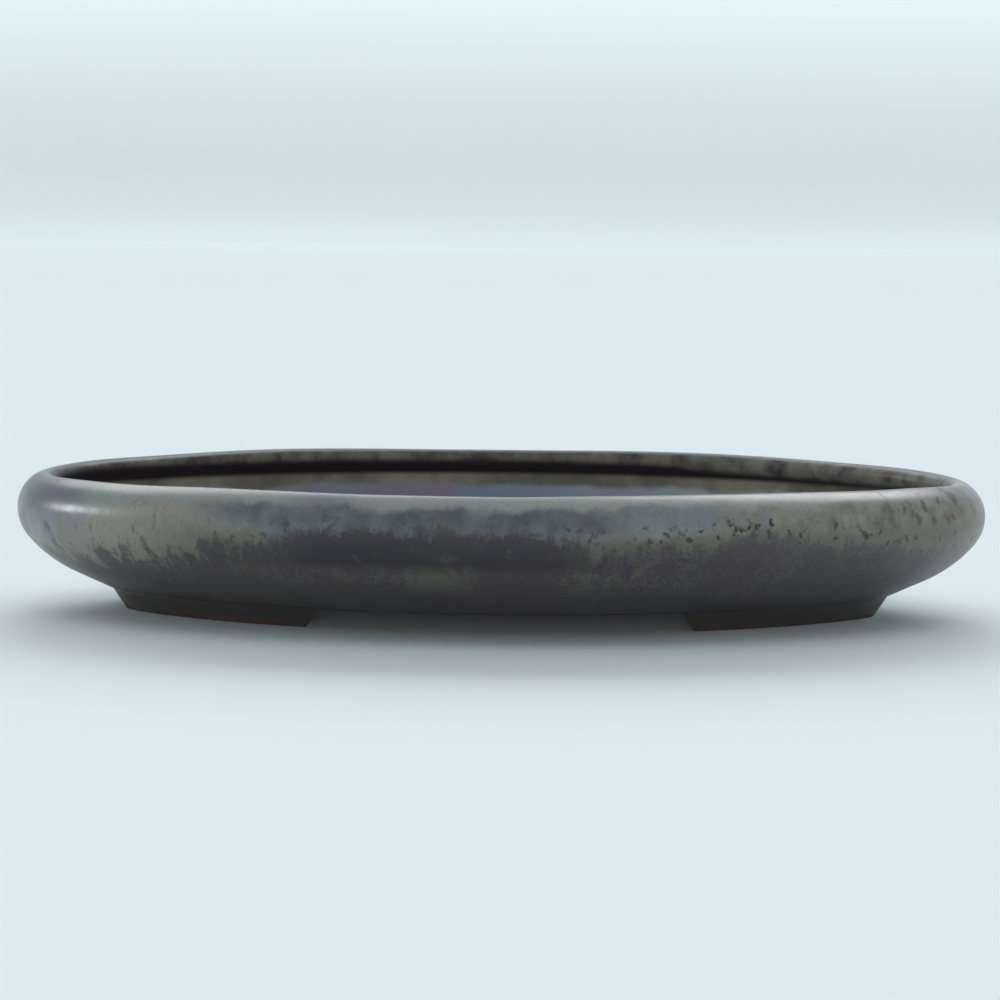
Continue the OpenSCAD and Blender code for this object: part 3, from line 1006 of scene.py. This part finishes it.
def make_stage():
    """A pale floor, and far behind the tray a sheet that curves up and lets the window light through."""
    material = make_plain("stage", STAGE, 0.9)
    make_sheet("floor_sheet", [(STAGE_FRONT, 0.0), (0.0, 0.0), (STAGE_BACK, 0.0)], material)
    turns = [math.pi / 2 * i / BACKDROP_STEPS for i in range(BACKDROP_STEPS + 1)]
    profile = [(STAGE_BACK + BACKDROP_CURVE * math.sin(angle), BACKDROP_CURVE * (1 - math.cos(angle)))
               for angle in turns]
    make_sheet("backdrop", profile, material).visible_shadow = False


def add_lamp(name, kind, location, aim, **settings):
    lamp = bpy.data.lights.new(name, kind)
    for key, value in settings.items():
        setattr(lamp, key, value)
    light = bpy.data.objects.new(name, lamp)
    bpy.context.scene.collection.objects.link(light)
    light.location = location
    light.rotation_euler = (Vector(aim) - Vector(location)).to_track_quat("-Z", "Y").to_euler()
    light.visible_camera = False
    return light


def add_sun(name, azimuth, elevation, strength, spread):
    """Even light from a wide patch of sky; azimuth is 0 behind the tray and 90 at its right."""
    side, up = math.radians(azimuth), math.radians(elevation)
    way = Vector((math.sin(side) * math.cos(up), math.cos(side) * math.cos(up), math.sin(up)))
    return add_lamp(name, "SUN", way, (0, 0, 0), energy=strength, angle=math.radians(spread))


SKY = (0.90, 0.96, 1.0, 1)
SKY_STRENGTH = 0.26

# Low patches of window light behind the tray, each as (azimuth, strength).
WINDOWS = [(-80, 0.13), (-38, 0.3), (-18, 0.9), (0, 2.4), (18, 0.9), (38, 0.3), (80, 0.13)]
WINDOW_ELEVATION = 18
WINDOW_SPREAD = 20

# Low light thrown back from both sides. It casts no shadow, so it lightens the tray's own.
BOUNCE_SIDES = (-65, 65)
BOUNCE_ELEVATION = 8
BOUNCE_STRENGTH = 0.22
BOUNCE_SPREAD = 10

# Light from above and from the camera's side, each as (name, azimuth, elevation, strength, spread).
SOFT_SUNS = [("ceiling", 0, 60, 0.75, 75), ("fill", 180, 5, 0.9, 14)]

# The same for lights that are seen only as reflections in the glaze.
GLEAMS = [("ceiling_gleam", 0, 60, 0.36, 75), ("left_gleam", -72, 11, 0.5, 10),
          ("crest_gleam", -24, 44, 0.75, 34), ("right_gleam", 33, 50, 1.2, 32)]

# A long strip that brightens the lower backdrop from above.
WASH_PLACE = (0, 5.5, 1.1)
WASH_AIM = (0, 5.8, 0.3)
WASH_LENGTH = 8.0
WASH_WIDTH = 0.6
WASH_ENERGY = 26


def make_light():
    """Daylight from above and behind, with a weak fill from the front."""
    world = bpy.data.worlds.new("world")
    bpy.context.scene.world = world
    world.use_nodes = True
    background = world.node_tree.nodes["Background"]
    background.inputs["Color"].default_value = SKY
    background.inputs["Strength"].default_value = SKY_STRENGTH
    for azimuth, strength in WINDOWS:
        window = add_sun(f"window_{azimuth}", azimuth, WINDOW_ELEVATION, strength, WINDOW_SPREAD)
        window.visible_glossy = False
    for azimuth in BOUNCE_SIDES:
        bounce = add_sun(f"bounce_{azimuth}", azimuth, BOUNCE_ELEVATION, BOUNCE_STRENGTH, BOUNCE_SPREAD)
        bounce.visible_glossy = False
        bounce.data.use_shadow = False
    for name, azimuth, elevation, strength, spread in SOFT_SUNS:
        add_sun(name, azimuth, elevation, strength, spread).visible_glossy = False
    for name, azimuth, elevation, strength, spread in GLEAMS:
        add_sun(name, azimuth, elevation, strength, spread).visible_diffuse = False
    add_lamp("wash", "AREA", WASH_PLACE, WASH_AIM, shape="RECTANGLE", size=WASH_LENGTH,
             size_y=WASH_WIDTH, energy=WASH_ENERGY)


make_stage()
make_light()
bpy.context.scene.view_settings.view_transform = "Standard"
